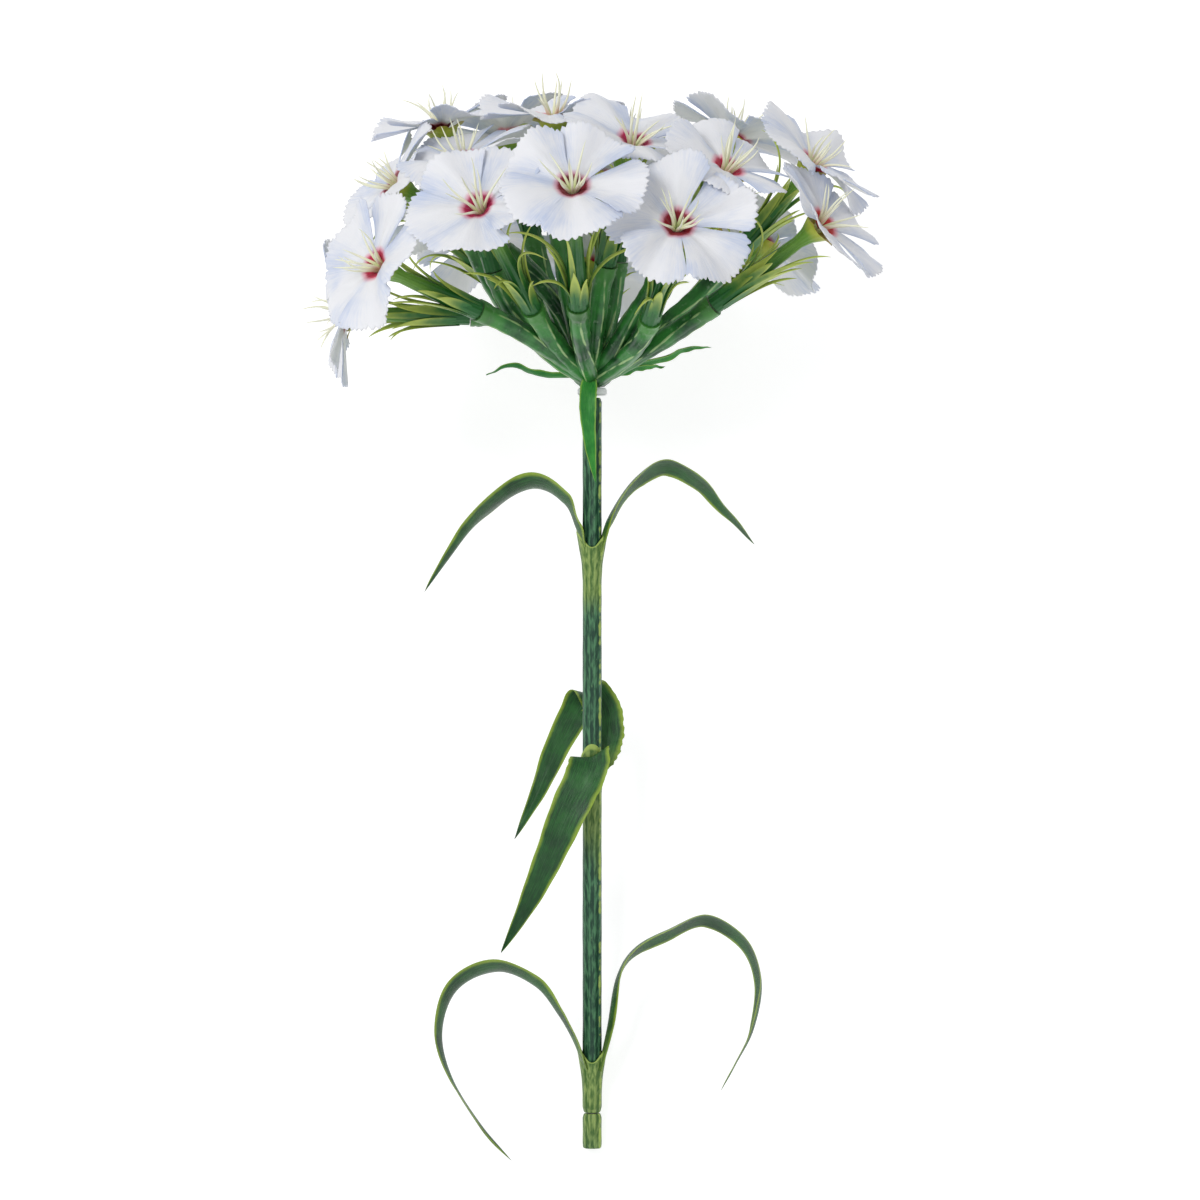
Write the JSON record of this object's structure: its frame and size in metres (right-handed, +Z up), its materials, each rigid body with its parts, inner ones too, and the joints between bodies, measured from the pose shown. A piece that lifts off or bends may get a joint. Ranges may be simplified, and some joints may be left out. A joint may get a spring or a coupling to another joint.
{
  "type": "phlox stem",
  "caption": "Cut phlox stem with a domed head of white, red-eyed toothed florets on a green stem with arching leaf pairs, lying down.",
  "frame": {"origin": "middle of the bounding box, on the surface that the stem lies on", "axes": "+Y from the cut foot towards the flower head, +Z up, +X to the right of the head seen from above"},
  "size_m": [0.153, 0.2972, 0.1482],
  "materials": {
    "petal_fabric": "printed satin polyester, white with a crimson eye",
    "calyx_plastic": "moulded, dark green airbrushed to yellow-green at the teeth",
    "branch_plastic": "moulded, ribbed, dark green with pale seams",
    "leaf_plastic": "moulded, dark green with yellow-green airbrushed edges",
    "stem_plastic": "moulded, ribbed, bluish green",
    "stamen_plastic": "moulded, cream",
    "washer_plastic": "clear, milky",
    "core_wire": "drawn wire"
  },
  "bodies": {
    "root": {"stem_wire": "core_wire", "foot_sleeve": "stem_plastic", "lower_leaf_sleeve": "leaf_plastic", "middle_leaf_sleeve": "leaf_plastic", "upper_leaf_sleeve": "leaf_plastic", "neck_sleeve": "stem_plastic", "neck_washer": "washer_plastic", "umbel_hub": "branch_plastic", "calyx_01": "calyx_plastic", "corolla_01": "petal_fabric", "calyx_02": "calyx_plastic", "corolla_02": "petal_fabric", "calyx_03": "calyx_plastic", "corolla_03": "petal_fabric", "calyx_04": "calyx_plastic", "corolla_04": "petal_fabric", "calyx_05": "calyx_plastic", "corolla_05": "petal_fabric", "calyx_06": "calyx_plastic", "corolla_06": "petal_fabric", "calyx_07": "calyx_plastic", "corolla_07": "petal_fabric", "calyx_08": "calyx_plastic", "corolla_08": "petal_fabric", "calyx_09": "calyx_plastic", "corolla_09": "petal_fabric", "calyx_10": "calyx_plastic", "corolla_10": "petal_fabric", "calyx_11": "calyx_plastic", "corolla_11": "petal_fabric", "calyx_12": "calyx_plastic", "corolla_12": "petal_fabric", "calyx_13": "calyx_plastic", "corolla_13": "petal_fabric", "calyx_14": "calyx_plastic", "corolla_14": "petal_fabric", "calyx_15": "calyx_plastic", "corolla_15": "petal_fabric", "calyx_16": "calyx_plastic", "corolla_16": "petal_fabric", "calyx_17": "calyx_plastic", "corolla_17": "petal_fabric", "calyx_18": "calyx_plastic", "corolla_18": "petal_fabric", "calyx_19": "calyx_plastic", "corolla_19": "petal_fabric", "calyx_20": "calyx_plastic", "corolla_20": "petal_fabric", "calyx_21": "calyx_plastic", "corolla_21": "petal_fabric", "calyx_22": "calyx_plastic", "corolla_22": "petal_fabric"}
  },
  "joints": []
}
